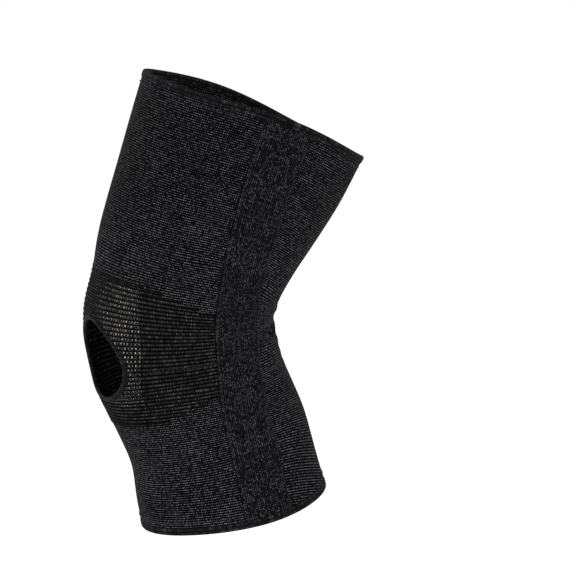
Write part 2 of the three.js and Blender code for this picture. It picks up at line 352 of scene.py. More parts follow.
# Course lines: the stays hold the knit, so courses run higher beside them on the thigh and lower on the calf.
# Rows give height and lift.
courseLift = np.array([
    (-128, -3), (-85, -4), (-42, -10), (-8, -2.5), (12, 0), (40, 9.5), (92, 7.4), (137, 7),
])
liftRounds = 12  # the height of a course settles within these


def liftOf(angle, height):
    stay = curveThrough(formTable, height)[5]
    top, bottom = nearHems(height)
    lift = np.interp(height, courseLift[:, 0], courseLift[:, 1])
    return lift * nearStay(wrapAngle(angle), stay) * (1 - top) * (1 - bottom)


def courseOf(angle, height):
    return height - liftOf(angle, height)


def heightOfCourse(angle, course):
    height = np.array(course, float)
    for _ in range(liftRounds):
        height = course + liftOf(angle, height)
    return height


# Making pieces

making = {
    "mergeGap": 0.02,  # corners closer than this are joined
    "smoothUpTo": 55,  # degrees, so sharper edges stay sharp
}
legSides = (("lateral", 1), ("medial", -1))
channelLanes = (("Front", -1), ("Rear", 1))


def startGrid(name, columns, rows):  # a flat grid one metre each way, wrapped on the leg afterwards
    bpy.ops.object.select_all(action="DESELECT")
    bpy.ops.mesh.primitive_grid_add(x_subdivisions=columns, y_subdivisions=rows, size=1)
    piece = bpy.context.object
    piece.name = name
    piece.data.name = name
    return piece


def sharesOf(piece):
    flat = np.empty(len(piece.data.vertices) * 3)
    piece.data.vertices.foreach_get("co", flat)
    return flat.reshape(-1, 3)[:, :2] + 0.5


def faceShares(piece):
    flat = np.empty(len(piece.data.polygons) * 3)
    piece.data.polygons.foreach_get("center", flat)
    return flat.reshape(-1, 3)[:, :2] + 0.5


def cutFaces(piece, chosen):
    bpy.context.tool_settings.mesh_select_mode = (False, False, True)
    bpy.ops.object.mode_set(mode="EDIT")
    bpy.ops.mesh.select_all(action="DESELECT")
    bpy.ops.object.mode_set(mode="OBJECT")
    piece.data.polygons.foreach_set("select", chosen)
    bpy.ops.object.mode_set(mode="EDIT")
    bpy.ops.mesh.delete(type="FACE")
    bpy.ops.object.mode_set(mode="OBJECT")


def drawMap(piece, pattern):  # the UV map counts stitches: wales across, courses up
    corners = np.empty(len(piece.data.loops), int)
    piece.data.loops.foreach_get("vertex_index", corners)
    shares = sharesOf(piece)
    places = np.stack(pattern(shares[:, 0], shares[:, 1]), -1)
    piece.data.uv_layers[0].name = "stitches"
    piece.data.uv_layers[0].data.foreach_set("uv", places[corners].ravel())


def wrapPiece(piece, place):
    shares = sharesOf(piece)
    piece.data.vertices.foreach_set("co", place(shares[:, 0], shares[:, 1]).ravel())
    piece.data.update()


def mergeSeam(piece):
    bpy.ops.object.mode_set(mode="EDIT")
    bpy.ops.mesh.select_all(action="SELECT")
    bpy.ops.mesh.remove_doubles(threshold=making["mergeGap"] * mm)
    bpy.ops.object.mode_set(mode="OBJECT")


def giveWall(piece, wall):
    modifier = piece.modifiers.new("wall", "SOLIDIFY")
    modifier.thickness = wall * mm
    modifier.offset = -1
    bpy.ops.object.modifier_apply(modifier="wall")


def wrapWall(piece, place, inside):  # the ribs are on the outside alone, the inside is smooth
    shares = sharesOf(piece)
    count = len(piece.data.vertices)
    wrapPiece(piece, place)
    giveWall(piece, leg["wall"])
    points = np.empty(len(piece.data.vertices) * 3)
    piece.data.vertices.foreach_get("co", points)
    points[3 * count:] = inside(shares[:, 0], shares[:, 1]).ravel()
    piece.data.vertices.foreach_set("co", points)
    piece.data.update()


def finishPiece(piece, material, nodes):
    bpy.ops.object.shade_smooth_by_angle(angle=math.radians(making["smoothUpTo"]))
    piece.data.materials.clear()
    piece.data.materials.append(material)
    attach(piece, "root")
    if nodes:
        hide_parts(*nodes)
    triangles = sum(len(face.vertices) - 2 for face in piece.data.polygons)
    print(piece.name, triangles, "triangles")
    return piece


# Materials

knit = {
    "wales": 325,  # stitches round the sleeve
    "coursePitch": 1.48,
    "streakSpread": 7.3,  # keeps the streaks of one course apart from the next
    "streakNoise": (0.32, 0.68),  # between these values of a noise its effect runs from least to most
    "patchNoise": (0.3, 0.7),
    # between these heights a finish's flecks shift from its atKnee to its atThigh share, a painted shade on
    # the thigh
    "kneeLevel": 20,  # up to this height a finish glints by its atKnee
    "thighLevel": 110,  # and from this height by its atThigh
}
plainFinish = {  # what a finish has unless it says otherwise
    "atKnee": 1, "atThigh": 1, "relief": 0.2, "bump": 0.3, "roughness": 0.85, "specular": 0.02, "ior": 1.5,
}


def knitMaterial(name, finish):  # stitches drawn from the UV map, each crest showing its own share of a pale colour: partly the pale elastic within the yarn, partly a painted highlight
    finish = {**plainFinish, **finish}
    material, tree = newMaterial(name)
    stitches = addNode(tree, "UVMap", {"uv_map": "stitches"}).outputs["UV"]
    parts = addNode(tree, "SeparateXYZ", None, {0: stitches})
    wale = addNode(tree, "Math", {"operation": "FRACT"}, {0: parts.outputs[0]})
    fromMiddle = addNode(tree, "Math", {"operation": "SUBTRACT"}, {0: wale.outputs[0], 1: 0.5})
    aside = addNode(tree, "Math", {"operation": "ABSOLUTE"}, {0: fromMiddle.outputs[0]})
    course = addNode(tree, "Math", {"operation": "MULTIPLY_ADD"},
                     {0: aside.outputs[0], 1: finish["chevron"], 2: parts.outputs[1]})
    cell = addNode(tree, "CombineXYZ", None, {0: parts.outputs[0], 1: course.outputs[0]})
    whole = addNode(tree, "VectorMath", {"operation": "FLOOR"}, {0: cell.outputs[0]})
    chance = addNode(tree, "TexWhiteNoise", {"noise_dimensions": "2D"}, {"Vector": whole.outputs[0]})

    def wave(value, depth):  # 1 in the middle of a stitch, less between stitches
        turn = addNode(tree, "Math", {"operation": "MULTIPLY"}, {0: value, 1: 2 * math.pi})
        crest = addNode(tree, "Math", {"operation": "COSINE"}, {0: turn.outputs[0]})
        level = addNode(tree, "MapRange", None, {
            "Value": crest.outputs[0], "From Min": 1, "From Max": -1, "To Min": 1 - depth, "To Max": 1})
        return level.outputs[0]

    across = wave(parts.outputs[0], finish["waleDepth"])
    along = wave(course.outputs[0], finish["courseDepth"])
    loop = addNode(tree, "Math", {"operation": "MULTIPLY"}, {0: across, 1: along})
    crest = addNode(tree, "Math", {"operation": "POWER"}, {0: loop.outputs[0], 1: finish["sharpness"]})
    rows = addNode(tree, "SeparateXYZ", None, {0: whole.outputs[0]})
    apart = addNode(tree, "Math", {"operation": "MULTIPLY"}, {0: rows.outputs[1], 1: knit["streakSpread"]})
    run = addNode(tree, "Math", {"operation": "DIVIDE"}, {0: parts.outputs[0], 1: finish["streakLength"]})
    streakPlace = addNode(tree, "CombineXYZ", None, {0: run.outputs[0], 1: apart.outputs[0]})
    streakNoise = addNode(tree, "TexNoise", {"noise_dimensions": "2D"},
                          {"Vector": streakPlace.outputs[0], "Scale": 1, "Detail": 1})
    low, high = knit["streakNoise"]
    streak = addNode(tree, "MapRange", None, {
        "Value": streakNoise.outputs[0], "From Min": low, "From Max": high,
        "To Min": 1 - finish["streaks"], "To Max": 1 + finish["streaks"]})
    place = addNode(tree, "TexCoord").outputs["Object"]
    patchNoise = addNode(tree, "TexNoise", None, {
        "Vector": place, "Scale": 1 / finish["patchSize"] / mm, "Detail": 2})
    low, high = knit["patchNoise"]
    patch = addNode(tree, "MapRange", None, {
        "Value": patchNoise.outputs[0], "From Min": low, "From Max": high,
        "To Min": 1 - finish["patches"], "To Max": 1 + finish["patches"]})
    rare = addNode(tree, "Math", {"operation": "POWER"}, {0: chance.outputs["Value"], 1: finish["rarity"]})
    share = addNode(tree, "MapRange", None, {
        "Value": rare.outputs[0], "To Min": finish["least"], "To Max": finish["most"]})
    streaked = addNode(tree, "Math", {"operation": "MULTIPLY"}, {0: share.outputs[0], 1: streak.outputs[0]})
    height = addNode(tree, "SeparateXYZ", None, {0: place})
    # painted shade: the flecks dim from kneeLevel up to thighLevel, so the thigh looks less lit than the knee
    heightShade = addNode(tree, "MapRange", {"interpolation_type": "SMOOTHSTEP"}, {
        "Value": height.outputs[2], "From Min": knit["kneeLevel"] * mm, "From Max": knit["thighLevel"] * mm,
        "To Min": finish["atKnee"], "To Max": finish["atThigh"]})
    patched = addNode(tree, "Math", {"operation": "MULTIPLY"}, {0: streaked.outputs[0], 1: patch.outputs[0]})
    glint = addNode(tree, "Math", {"operation": "MULTIPLY"}, {0: patched.outputs[0], 1: heightShade.outputs[0]})
    # pale flecks on the stitch crests: partly the pale elastic showing, partly painted highlights where the
    # yarn would catch the light
    amount = addNode(tree, "Math", {"operation": "MULTIPLY", "use_clamp": True},
                     {0: glint.outputs[0], 1: crest.outputs[0]})
    colour = addNode(tree, "Mix", {"data_type": "RGBA"},
                     {0: amount.outputs[0], 6: linear(finish["yarn"]), 7: linear(finish["coreAndGlint"])})
    bump = addNode(tree, "Bump", None, {
        "Strength": finish["bump"], "Distance": finish["relief"] * mm, "Height": loop.outputs[0]})
    shader = addNode(tree, "BsdfPrincipled", None, {
        "Base Color": colour.outputs[2], "Roughness": finish["roughness"], "IOR": finish["ior"],
        "Specular IOR Level": finish["specular"], "Normal": bump.outputs[0]})
    addNode(tree, "OutputMaterial", None, {"Surface": shader.outputs["BSDF"]})
    return material


# Covered elastic jersey: matt black yarn round pale elastic. The pale flecks along its courses are partly
# that elastic and partly painted highlights, and a painted shade dims them towards the thigh
jersey = knitMaterial("covered elastic jersey knit", {
    "yarn": "#010102", "coreAndGlint": "#c6c6cc", "chevron": 0.2, "waleDepth": 0.5, "courseDepth": 1.0,
    "sharpness": 4.2, "rarity": 1.3, "least": 0.04, "most": 0.36, "streakLength": 5, "streaks": 0.22,
    "atKnee": 1.05, "atThigh": 0.75, "patchSize": 22, "patches": 0.14, "relief": 0.3, "bump": 0.4})

# Elastic rib knit of the knee panel: plain black rows, with painted highlights along the rib crests and few,
# weak painted glints
panelKnit = knitMaterial("elastic rib knit", {
    "yarn": "#010101", "coreAndGlint": "#b4b4b8", "chevron": 0.2, "waleDepth": 0.85, "courseDepth": 1.0,
    "sharpness": 1.8, "rarity": 2.4, "least": 0.05, "most": 0.195, "streakLength": 4, "streaks": 0.3,
    "patchSize": 18, "patches": 0.25})

# Warp knit tape of the channels: dense upright ribs, finer and duller than the jersey, with painted
# highlights on their crests
tapeKnit = knitMaterial("warp knit tape", {
    "yarn": "#020203", "coreAndGlint": "#b0b0b6", "chevron": 0.3, "waleDepth": 0.8, "courseDepth": 0.5,
    "sharpness": 2.2, "rarity": 2.2, "least": 0.02, "most": 0.19, "streakLength": 3, "streaks": 0.3,
    "patchSize": 12, "patches": 0.15})

# Turned jersey hem: the jersey folded back on itself, closed up and darker
hemKnit = knitMaterial("turned jersey hem", {
    "yarn": "#020203", "coreAndGlint": "#9c9ca2", "chevron": 0.2, "waleDepth": 0.6, "courseDepth": 0.7,
    "sharpness": 1.2, "rarity": 3, "least": 0.02, "most": 0.12, "streakLength": 7, "streaks": 0.4,
    "patchSize": 14, "patches": 0.3, "specular": 0.04})

# Polyamide binding of the opening: smooth and close, with a faint twill picked out in painted glints
bindingKnit = knitMaterial("polyamide binding", {
    "yarn": "#030303", "coreAndGlint": "#77777c", "chevron": 0.5, "waleDepth": 0.5, "courseDepth": 0.5,
    "sharpness": 1.0, "rarity": 3, "least": 0.01, "most": 0.11, "streakLength": 5, "streaks": 0.3,
    "patchSize": 10, "patches": 0.3, "relief": 0.15, "roughness": 0.7, "specular": 0.06})

# Bare elastic inlay of the net: pale natural rubber, which shows in the gaps
inlay = knitMaterial("bare elastic inlay", {
    "yarn": "#2a2826", "coreAndGlint": "#d8d0c4", "chevron": 0.0, "waleDepth": 0.1, "courseDepth": 0.0,
    "sharpness": 1.0, "rarity": 1.2, "least": 0.1, "most": 0.8, "streakLength": 4, "streaks": 0.4,
    "patchSize": 16, "patches": 0.3, "relief": 0.1, "bump": 0.2, "roughness": 0.6, "specular": 0.2})

# Knit tube

body = {
    "columns": 210,
    "rows": 220,
    "closeAt": 0.42,  # share of the height where the grid's rows lie closest, for the fine creases
    "closeness": 0.55,
    "closing": 0.38,  # courses added in front, as a share
    "closingTop": 31,  # the course at which the bend ends
    "underChannel": math.radians(12),  # arc in which the front's courses meet the back's, out of sight
    "bunching": 0.6,  # courses left out behind, as a share
    "bunchTop": 0,
    "bottom": -126,
    "top": 135,
}
panel = {
    "bottom": -53.3,  # course where the panel starts
    "steps": [  # up to this angle, the panel's top row and its bottom row
        (40, 35.5, 0), (49, 34.5, 0), (53, 34.5, 1.5), (64, 33.5, 1.5), (75, 32.5, 3.5), (180, 31.5, 5),
    ],
    "beside": 96,  # degrees, under the channels
    "overlap": 2.2,  # of the jersey under the panel's edges
    "proud": 0.15,
    "ribRelief": 0.34,
    "lowPitch": 2.35,  # of the rows below the bend
    "bendPitch": 1.87,
    "bendFrom": -30,
}


def rowOf(course):  # panel rows counted from its bottom
    low = (np.minimum(course, panel["bendFrom"]) - panel["bottom"]) / panel["lowPitch"]
    return low + np.maximum(course - panel["bendFrom"], 0) / panel["bendPitch"]


def courseOfRow(row):
    low = (panel["bendFrom"] - panel["bottom"]) / panel["lowPitch"]
    return np.where(row < low, panel["bottom"] + row * panel["lowPitch"],
                    panel["bendFrom"] + (row - low) * panel["bendPitch"])


def panelEnds(angle):  # the panel's top and bottom courses, which step together towards the channels
    turned = np.degrees(np.abs(wrapAngle(angle)))
    steps = np.array(panel["steps"])
    step = steps[np.searchsorted(steps[:, 0], turned)]
    return courseOfRow(step[..., 1]), courseOfRow(step[..., 2])


def bodyPlace(across, up):
    angle = (across - 0.5) * 2 * math.pi
    turn = 2 * math.pi
    drawnIn = np.sin(turn * (up - body["closeAt"])) + math.sin(turn * body["closeAt"])
    share = up - body["closeness"] / turn * drawnIn
    return angle, body["bottom"] + share * (body["top"] - body["bottom"])


def bodyCourse(angle, height):  # more courses cross the bend in front, and fewer behind, where they bunch up
    course = courseOf(angle, height)
    stay = curveThrough(formTable, height)[5]
    ahead = np.clip((stay - np.abs(wrapAngle(angle))) / body["underChannel"] + 0.5, 0, 1)
    above = np.clip(course, 0, body["closingTop"])
    behind = np.clip(-np.cos(angle), 0, 1) ** 2
    bend = np.clip(height, -leg["bendSpan"] / 2, body["bunchTop"])
    return course + body["closing"] * ahead * above - body["bunching"] * behind * bend


def knitBody():
    piece = startGrid("knitBody", body["columns"], body["rows"])
    drawMap(piece, lambda across, up: (across * knit["wales"],
                                       bodyCourse(*bodyPlace(across, up)) / knit["coursePitch"]))
    angle, height = bodyPlace(*faceShares(piece).T)
    course = courseOf(angle, height)
    top, bottom = panelEnds(angle)
    gap = panel["overlap"]
    inside = (course > bottom + gap) & (course < top - gap)
    cutFaces(piece, inside & (np.abs(np.degrees(angle)) < panel["beside"] - gap))
    wrapPiece(piece, lambda across, up: fabricPoint(*bodyPlace(across, up), 0))
    mergeSeam(piece)
    giveWall(piece, leg["wall"])
    return finishPiece(piece, jersey, ["knit_sleeve"])


knitBody()

# Knee panel: ribs at the sides, net round the opening

opening = {
    "height": 52,
    "width": 56,
    "drop": 29,  # of its middle below the knee's centre, along the front
    "egg": 0.16,  # wider below and narrower above
    "bindingWidth": 3.2,
    "bindingWall": 2.8,
    "bindingGrid": (180, 16),
    "bindingStitches": (130, 6),  # along the binding and round it
}
net = {
    "edge": 37,  # degrees from the front to the net's side
    "bulge": 6.5,  # the net is wider beside the opening
    "bulgeCourse": -8,
    "bulgeReach": 18,
    "columns": 24,  # on each side of the front
    "fan": 0.5,  # the columns crowd together beside the opening
    "fanCourse": -14,
    "fanReach": 11,
    "top": 17.5,
    "bottom": -39,
    "fineFrom": -34,  # course from which each row holds two fine courses
    "plainMargin": 3.4,  # round the binding
    "walesPerCell": 1.5,
    "facesAcross": 3,  # in each cell of the net
    "facesUp": 4,
    "gapWide": 0.46,  # shares of a cell
    "gapTall": 0.42,
    "cornerWide": 2.2,  # less than facesAcross, so each gap has slanted corners
    "gapVariety": 0.22,
    "gapSeeds": (12.99, 78.23, 43.76),  # spread the widths of the gaps
    "gapFade": 0.45,  # the gaps narrow towards the net's sides
    "fadePower": 6,
    "sway": 0.25,  # each row of gaps shifts this share of a cell, by turns to the left and right
    "swayPower": 8,  # the higher, the nearer to the net's sides the shift still shows
    "wall": 1.2,
    "ribRelief": 0.25,
}


def netEdge(course):
    return net["edge"] + net["bulge"] * np.exp(-(((course - net["bulgeCourse"]) / net["bulgeReach"]) ** 2))


def netAngle(column, course):  # columns fan apart beside the opening; column runs from -1 to 1
    fan = net["fan"] * np.exp(-(((course - net["fanCourse"]) / net["fanReach"]) ** 2))
    inner = 1 - np.abs(column)
    return np.sign(column) * np.radians(netEdge(course)) * (1 - inner - fan * inner * (1 - inner))


def flatPlace(angle, height):  # distance round from the front line, and length along it
    return angle * acrossAt(0, height) / (2 * oneDegree), np.interp(height, frontHeights, frontLengths)


def inOpening(angle, height, margin):
    distance, length = flatPlace(angle, height)
    tall = opening["height"] / 2 + margin
    along = (length + opening["drop"]) / tall
    wide = (opening["width"] / 2 + margin) * (1 - opening["egg"] * np.clip(along, -1, 1))
    return along**2 + (distance / wide) ** 2 < 1


netRows = math.ceil(panel["steps"][0][1])


def netPlace(across, up):
    course = courseOfRow(up * netRows)
    angle = netAngle(across * 2 - 1, course)
    return angle, heightOfCourse(angle, course)


def inNet(angle, height, row):
    course = courseOfRow(row)
    return (course > net["bottom"]) & (course < net["top"]) & ~inOpening(angle, height, net["plainMargin"])


def netPanel():
    columns = 2 * net["columns"]
    piece = startGrid("netPanel", columns * net["facesAcross"], netRows * net["facesUp"])
    netFrom = math.floor(float(rowOf(net["fineFrom"])))

    def pattern(across, up):  # two fine courses to each row of the net, one to each rib below it
        row = up * netRows
        return across * columns * net["walesPerCell"], row + np.maximum(row - netFrom, 0)

    drawMap(piece, pattern)
    shares = faceShares(piece)
    angle, height = netPlace(*shares.T)
    cellAcross = (shares[:, 0] * columns) % 1
    cellUp = (shares[:, 1] * netRows) % 1
    inMiddle = np.abs(cellAcross - 0.5) < 0.5 / net["facesAcross"]
    gap = inMiddle & (np.abs(cellUp - 0.5) < 1 / net["facesUp"])
    middleAcross = (np.floor(shares[:, 0] * columns) + 0.5) / columns
    middleUp = (np.floor(shares[:, 1] * netRows) + 0.5) / netRows
    holes = gap & inNet(*netPlace(middleAcross, middleUp), middleUp * netRows)
    above = courseOf(angle, height) > panelEnds(angle)[0]
    cutFaces(piece, holes | above | inOpening(angle, height, opening["bindingWidth"] / 2))

    def place(across, up, inside=False):  # moves the corners of each cell's middle faces to its gap
        cellX = across * columns
        cellY = up * netRows
        nearly = 0.01  # against rounding
        wholeX = np.floor(cellX + nearly)
        wholeY = np.floor(cellY + nearly)
        offX = cellX - wholeX - 0.5
        offY = cellY - wholeY - 0.5
        beside = np.abs(offX) < 1 / net["facesAcross"]
        corner = beside & (np.abs(np.abs(offY) - 1 / net["facesUp"]) < nearly)
        level = beside & (np.abs(offY) < nearly)
        seedX, seedY, seedBoth = net["gapSeeds"]
        cellSeed = wholeX * seedX + wholeY * seedY
        column = np.abs(2 * (wholeX + 0.5) / columns - 1)
        gapShare = net["gapWide"] * (1 + net["gapVariety"] * np.sin(cellSeed * seedBoth))
        gapShare = gapShare * (1 - net["gapFade"] * column ** net["fadePower"])
        cornerShare = np.where(corner, gapShare * net["cornerWide"], 1)
        wide = np.where(level, gapShare * net["facesAcross"], cornerShare) - 1
        still = (2 * cellX / columns - 1) ** net["swayPower"]
        sway = net["sway"] * np.cos(math.pi * (cellY - 0.5)) * (1 - still)
        cellX = cellX + np.where(beside, wide, 0) * offX + np.where(cellY > netFrom, sway, 0)
        cellY = cellY + np.where(corner, net["gapTall"] * net["facesUp"] / 2 - 1, 0) * offY
        places = netPlace(cellX / columns, cellY / netRows)
        relief = np.where(cellY < netFrom, panel["ribRelief"], net["ribRelief"]) * np.cos(2 * math.pi * cellY)
        return fabricPoint(*places, panel["proud"] + (-net["wall"] if inside else relief))

    wrapWall(piece, place, lambda across, up: place(across, up, inside=True))
    return finishPiece(piece, panelKnit, ["knit_sleeve"])


netPanel()

elastic = {
    "below": 0.55,  # from the panel's outside to the strips
    "wall": 0.45,
    "narrowing": 0.3,
    "facesAcross": 2,  # in each cell of the net
    "facesUp": 4,
}


def netInlay():  # one strip of elastic along each row of the net, seen in its gaps
    columns = 2 * net["columns"]
    piece = startGrid("netInlay", columns * elastic["facesAcross"], netRows * elastic["facesUp"])
    drawMap(piece, lambda across, up: (across * columns, up * netRows))
    shares = faceShares(piece)
    angle, height = netPlace(*shares.T)
    cellUp = (shares[:, 1] * netRows) % 1
    inMiddle = np.abs(cellUp - 0.5) < 1 / elastic["facesUp"]
    cutFaces(piece, ~(inMiddle & inNet(angle, height, shares[:, 1] * netRows)))

    def place(across, up):
        cellY = up * netRows
        off = cellY - np.floor(cellY) - 0.5
        places = netPlace(across, (cellY - elastic["narrowing"] * off) / netRows)
        return fabricPoint(*places, panel["proud"] - elastic["below"])

    wrapPiece(piece, place)
    giveWall(piece, elastic["wall"])
    return finishPiece(piece, inlay, [])


netInlay()

ribPanel = {
    "columns": 44,
    "facesPerRow": 6,
    "wales": 60,
}


def ribPlace(across, up, side):
    course = courseOfRow(up * netRows)
    start = netEdge(course)
    degrees = start + across * (panel["beside"] - start)
    angle = side * np.radians(degrees)
    return angle, heightOfCourse(angle, course)


def ribSide(name, side):
    piece = startGrid(name, ribPanel["columns"], netRows * ribPanel["facesPerRow"])

    def turned(across):  # the inner side runs the other way round
        return across if side > 0 else 1 - across

    drawMap(piece, lambda across, up: (across * ribPanel["wales"], up * netRows))
    shares = faceShares(piece)
    angle, height = ribPlace(turned(shares[:, 0]), shares[:, 1], side)
    course = courseOf(angle, height)
    top, bottom = panelEnds(angle)
    cutFaces(piece, (course > top) | (course < bottom))

    def place(across, up):
        ribs = panel["ribRelief"] * np.cos(2 * math.pi * up * netRows)
        return fabricPoint(*ribPlace(turned(across), up, side), panel["proud"] + ribs)

    def inside(across, up):
        return fabricPoint(*ribPlace(turned(across), up, side), panel["proud"] - leg["wall"])

    wrapWall(piece, place, inside)
    return finishPiece(piece, panelKnit, ["knit_sleeve"])


ribSide("lateralRibs", 1)
ribSide("medialRibs", -1)
print("knit done")

# Hems

hem = {
    "columns": 260,
    "profile": 22,
    "wall": 3.0,
    "fullness": 0.6,  # 1 is an oval section, and less is squarer
    "under": 1.5,  # how far the hem reaches past its own height
    "courses": 8,
}


def ringPiece(name, columns, profile, place, material, nodes, pattern):
    piece = startGrid(name, columns, profile)
    drawMap(piece, pattern)
    wrapPiece(piece, place)
    mergeSeam(piece)
    return finishPiece(piece, material, nodes)


def hemBand(name, seat, edge, node):
    side = 1 if edge > seat else -1
    middle = (seat + edge) / 2

    def place(across, up):
        angle = (across - 0.5) * 2 * math.pi
        around = (0.5 - up) * 2 * math.pi * side
        lift = np.sign(np.sin(around)) * np.abs(np.sin(around)) ** hem["fullness"]
        proud = -leg["wall"] / 2 - hem["wall"] / 2 * np.cos(around)
        return fabricPoint(angle, middle + (edge - middle) * lift, proud)

    def pattern(across, up):
        return across * knit["wales"], up * hem["courses"]

    return ringPiece(name, hem["columns"], hem["profile"], place, hemKnit, [node], pattern)


thighSeat = leg["thighLength"] - leg["hemHeight"] - hem["under"]
calfSeat = -leg["calfLength"] + leg["hemHeight"] + hem["under"]
hemBand("thighHem", thighSeat, leg["thighLength"], "thigh_hem")
hemBand("calfHem", calfSeat, -leg["calfLength"], "calf_hem")

# Binding round the opening


def openingPoint(around, margin, proud):
    fullness = 1 - opening["egg"] * np.cos(around)
    distance = (opening["width"] / 2 + margin) * np.sin(around) * fullness
    length = (opening["height"] / 2 + margin) * np.cos(around) - opening["drop"]
    height = np.interp(length, frontLengths, frontHeights)
    return fabricPoint(distance * 2 * oneDegree / acrossAt(0, height), height, proud)


def binding():
    alongCount, roundCount = opening["bindingStitches"]

    def place(across, up):
        around = across * 2 * math.pi
        turn = -up * 2 * math.pi
        margin = opening["bindingWidth"] / 2 * (1 + np.cos(turn))
        proud = -leg["wall"] / 2 + panel["proud"] + opening["bindingWall"] / 2 * np.sin(turn)
        return openingPoint(around, margin, proud)

    def pattern(across, up):
        return across * alongCount, up * roundCount

    columns, rows = opening["bindingGrid"]
    nodes = ["patella_binding"]
    return ringPiece("patellaBinding", columns, rows, place, bindingKnit, nodes, pattern)


binding()

# Stay channels

channel = {
    "width": 16,
    "spacing": 1,  # between the two channels of a side
    "edge": 0.9,
    "edgeRound": 1.3,
    "stayHeight": 1.5,
    "stayEndInset": 11,
    "stayEndTaper": 7,
    "ribPitch": 1.3,
    "stitchPitch": 1.2,
    "ribRelief": 0.12,
    "dent": 0.6,  # where the seam across each end pulls the channel down
    "dentPlace": 5.5,
    "dentReach": 2.6,
    "sewnAt": 0.08,  # seams sit no lower than the channel's face this share in from its edges
    "top": 132.4,
    "bottom": -123.4,
    "hemArc": 19,  # degrees each way from the stays, where the channels lie over a hem's seam
    "columns": 50,
    "rows": 150,
    "wall": 0.9,
}


def channelPlace(side, lane, across, height):
    stay = curveThrough(formTable, height)[5]
    distance = lane * (channel["spacing"] / 2 + across * channel["width"])
    return side * (stay + distance * 2 * oneDegree / acrossAt(stay, height))


def channelRise(across, height):  # how far the channel stands off the knit under it
    fromEdge = np.minimum(across, 1 - across) * channel["width"]
    rim = 1 - np.clip(1 - fromEdge / channel["edgeRound"], 0, 1) ** 2
    fromEnd = np.minimum(channel["top"] - height, height - channel["bottom"])
    inset, taper = channel["stayEndInset"], channel["stayEndTaper"]
    rise = channel["stayHeight"] * smoothStep(fromEnd, inset - taper, inset + taper)
    dome = np.sin(across * math.pi) ** 2
    fromDent = (fromEnd - channel["dentPlace"]) / channel["dentReach"]
    dent = channel["dent"] * np.exp(-(fromDent**2)) * dome
    ribs = channel["ribRelief"] * np.cos(2 * math.pi * across * channel["width"] / channel["ribPitch"]) * rim
    return channel["edge"] * rim + rise * dome - dent + ribs


def stayChannel(name, side, lane, node):
    piece = startGrid(name, channel["columns"], channel["rows"])
    flipped = side * lane < 0
    span = channel["top"] - channel["bottom"]

    def read(across, up):
        return (1 - across if flipped else across), channel["bottom"] + up * span

    def place(across, up):
        across, height = read(across, up)
        return fabricPoint(channelPlace(side, lane, across, height), height, channelRise(across, height))

    def pattern(across, up):
        across, height = read(across, up)
        return across * channel["width"] / channel["ribPitch"], height / channel["stitchPitch"]

    drawMap(piece, pattern)
    wrapPiece(piece, place)
    giveWall(piece, channel["wall"])
    return finishPiece(piece, tapeKnit, [node])


for sideName, side in legSides:
    for laneName, lane in channelLanes:
        node = f"{sideName}_{laneName.lower()}_channel"
        stayChannel(sideName + laneName + "Channel", side, lane, node)
print("channels done")

# Threads

thread = {
    "dark": "#08080a",
    "light": "#2c2c32",
    "roughness": 0.7,
    "specular": 0.08,
    "plyPitch": 4,  # times the thickness
    "plyWarp": 2,
    "plyBump": 0.4,
    "plyDepth": 0.1,
    "thick": 0.55,
    "sides": 6,
    "rings": 5,
    "tip": 0.08,  # the share of the taper that each end leaves out
    "rise": 0.35,  # of a stitch's middle over its ends
    "stitch": 2.3,
    "gap": 0.5,
    "zigzag": 1.5,  # reach to each side of the line between two channels
    "zigzagPitch": 1.5,
    "edgeInset": 1.7,  # from a channel's edge to its seam
    "endInset": 6.4,  # from a channel's end to the seam across it
    "seamInset": 2,  # from a channel's end to the seams down it
    "hemSeam": 2.6,  # from a hem to its seam
    "thighGirth": 460,  # length of the seam's ring
    "calfGirth": 380,
    "floatRow": 15,  # of the panel's rows
    "floatFrom": 45,  # degrees
}


def threadMaterial():  # spun polyester thread: matt black with a faint twist, drawn coarse enough to show
    material, tree = newMaterial("spun polyester thread")
    place = addNode(tree, "TexCoord").outputs["Object"]
    scale = 1 / (thread["plyPitch"] * thread["thick"] * mm)
    plies = addNode(tree, "TexWave", None, {"Vector": place, "Scale": scale, "Distortion": thread["plyWarp"]})
    colour = addNode(tree, "Mix", {"data_type": "RGBA"},
                     {0: plies.outputs["Fac"], 6: linear(thread["dark"]), 7: linear(thread["light"])})
    bump = addNode(tree, "Bump", None, {
        "Strength": thread["plyBump"], "Distance": thread["plyDepth"] * mm, "Height": plies.outputs["Fac"]})
    shader = addNode(tree, "BsdfPrincipled", None, {
        "Base Color": colour.outputs[2], "Roughness": thread["roughness"],
        "Specular IOR Level": thread["specular"], "Normal": bump.outputs[0]})
    addNode(tree, "OutputMaterial", None, {"Surface": shader.outputs["BSDF"]})
    return material


threadBlack = threadMaterial()


